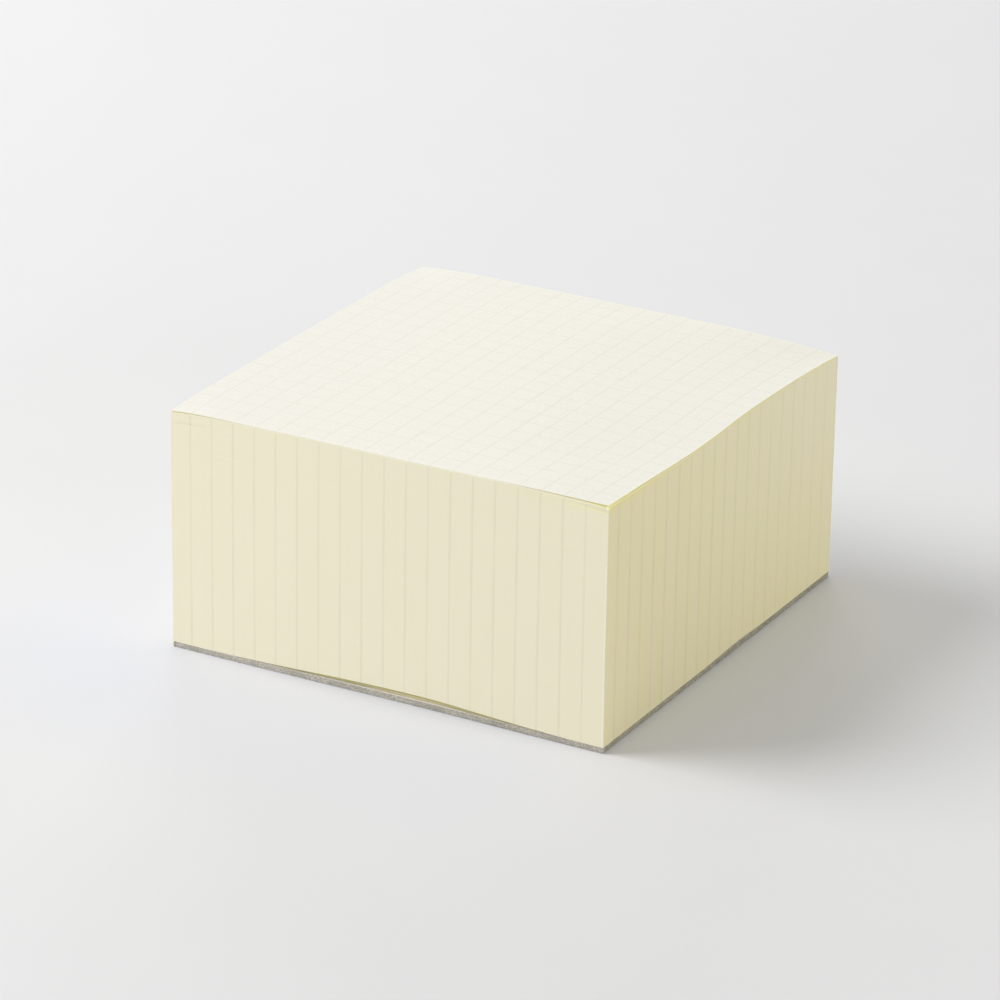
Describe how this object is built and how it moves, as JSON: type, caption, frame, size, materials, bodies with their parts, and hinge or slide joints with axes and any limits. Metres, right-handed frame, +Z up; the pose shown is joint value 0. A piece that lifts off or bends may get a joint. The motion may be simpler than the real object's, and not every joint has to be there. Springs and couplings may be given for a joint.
{
  "type": "memo pad",
  "caption": "Square block of ruled cream memo paper on a grey board, glued along one edge so that sheets tear off singly.",
  "frame": {"origin": "middle of the pad's footprint, on the surface that it stands on", "axes": "+Z up through the stack; the open front edge faces -Y and the glued edge faces +Y; +X to the right along the front edge"},
  "size_m": [0.0996, 0.0996, 0.0528],
  "materials": {
    "cream_paper": "matt uncoated",
    "grey_board": "matt, raw cut edge",
    "padding_glue": "flexible satin film",
    "ruling_ink": "matt printed ink"
  },
  "bodies": {
    "root": {"pages": "cream_paper", "backing_board": "grey_board", "glue_binding": "padding_glue", "top_ruling": "ruling_ink", "edge_ruling": "ruling_ink"}
  },
  "joints": []
}
